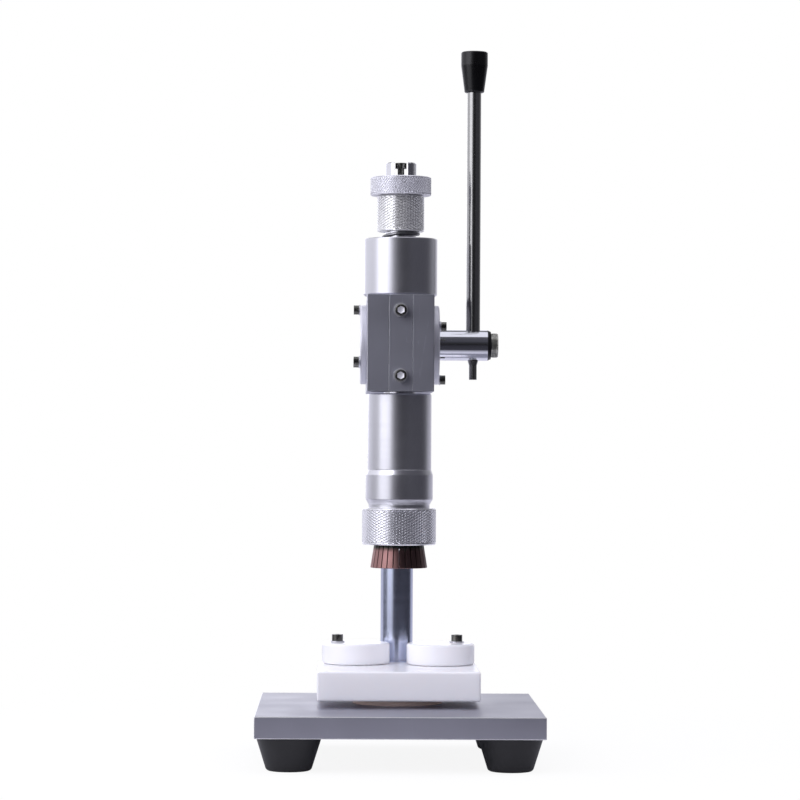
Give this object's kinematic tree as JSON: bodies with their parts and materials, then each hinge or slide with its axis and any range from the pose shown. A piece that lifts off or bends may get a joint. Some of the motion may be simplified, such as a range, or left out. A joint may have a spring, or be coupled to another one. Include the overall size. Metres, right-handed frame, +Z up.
{
  "type": "manual capping machine",
  "caption": "Bench hand press whose lever, rack and pinion closes a slotted collet over a perfume bottle cap, on a column above a square base with rubber feet.",
  "frame": {"origin": "middle of the base plate's footprint, on the bench under the rubber feet", "axes": "+Z up along the column and the ram, -Y towards the operator, +X towards the operator's right, where the lever is"},
  "size_m": [0.21, 0.21, 0.5353],
  "materials": {
    "plate": "satin",
    "foot_rubber": "matte",
    "zinc": "satin",
    "chromed_steel": "polished",
    "fibre_disc": "matte",
    "white_nylon": "semi-gloss",
    "block_alloy": "satin",
    "turned_alloy": "turned satin",
    "knurled_alloy": "knurled",
    "bronze": "machined",
    "spring_wire": "oiled",
    "black_grip": "semi-gloss",
    "ground_steel": "ground",
    "collet_bronze": "machined, browned"
  },
  "bodies": {
    "frame": {"base_plate": "plate", "rubber_feet": "foot_rubber", "foot_washers": "zinc", "foot_screws": "zinc", "column": "chromed_steel", "column_washer": "zinc", "column_bolt": "zinc", "seat_disc": "fibre_disc", "bottle_seat": "white_nylon", "seat_bolt": "zinc", "stop_washers": "zinc", "stop_screws": "zinc"},
    "head": {"head_block": "block_alloy", "guide_strip": "block_alloy", "strip_washers": "zinc", "strip_screws": "zinc", "clamp_screws": "zinc", "spring_housing": "turned_alloy", "left_flange": "turned_alloy", "right_flange": "turned_alloy", "flange_washers": "zinc", "flange_screws": "zinc", "right_bush": "bronze", "left_bush": "bronze", "return_spring": "spring_wire"},
    "lever": {"pinion_shaft": "chromed_steel", "shaft_washer": "zinc", "shaft_screw": "zinc", "hub_knob": "knurled_alloy", "lever_rod": "chromed_steel", "lever_grip": "black_grip"},
    "ram": {"ram": "ground_steel", "closer_tube": "turned_alloy", "closer_ring": "turned_alloy", "collet_nut": "knurled_alloy", "closing_spring": "spring_wire"},
    "core": {"core_spindle": "ground_steel", "ejector_screw": "zinc", "ejector_rod": "ground_steel", "adjusting_nut": "knurled_alloy", "lock_ring": "knurled_alloy", "collet_holder": "ground_steel", "collet": "collet_bronze"},
    "left_stop": {"left_stop": "white_nylon"},
    "right_stop": {"right_stop": "white_nylon"}
  },
  "joints": [
    {"name": "head_slide", "type": "slide", "parent": "frame", "child": "head", "axis": [0, 0, 1], "range_m": [-0.05, 0.037]},
    {"name": "lever_hinge", "type": "hinge", "parent": "head", "child": "lever", "pos_m": [0, 0.0205, 0.312], "axis": [1, 0, 0], "range_deg": [0, 60], "stiffness_Nm_per_rad": 0.15, "springref_deg": -97.4},
    {"name": "ram_slide", "type": "slide", "parent": "head", "child": "ram", "axis": [0, 0, -1], "range_m": [0, 0.0105], "deforming": ["closing_spring"]},
    {"name": "core_slide", "type": "slide", "parent": "head", "child": "core", "axis": [0, 0, -1], "range_m": [0, 0.00526], "deforming": ["return_spring"]},
    {"name": "left_stop_hinge", "type": "hinge", "parent": "frame", "child": "left_stop", "pos_m": [-0.0459, 0.051, 0.0762], "axis": [0, 0, 1], "continuous": true},
    {"name": "right_stop_hinge", "type": "hinge", "parent": "frame", "child": "right_stop", "pos_m": [0.0459, 0.051, 0.0762], "axis": [0, 0, 1], "continuous": true}
  ],
  "couplings": [
    {"joint": "ram_slide", "follows": "lever_hinge", "m_per_rad": 0.01},
    {"joint": "core_slide", "follows": "lever_hinge", "m_per_rad": 0.005}
  ]
}
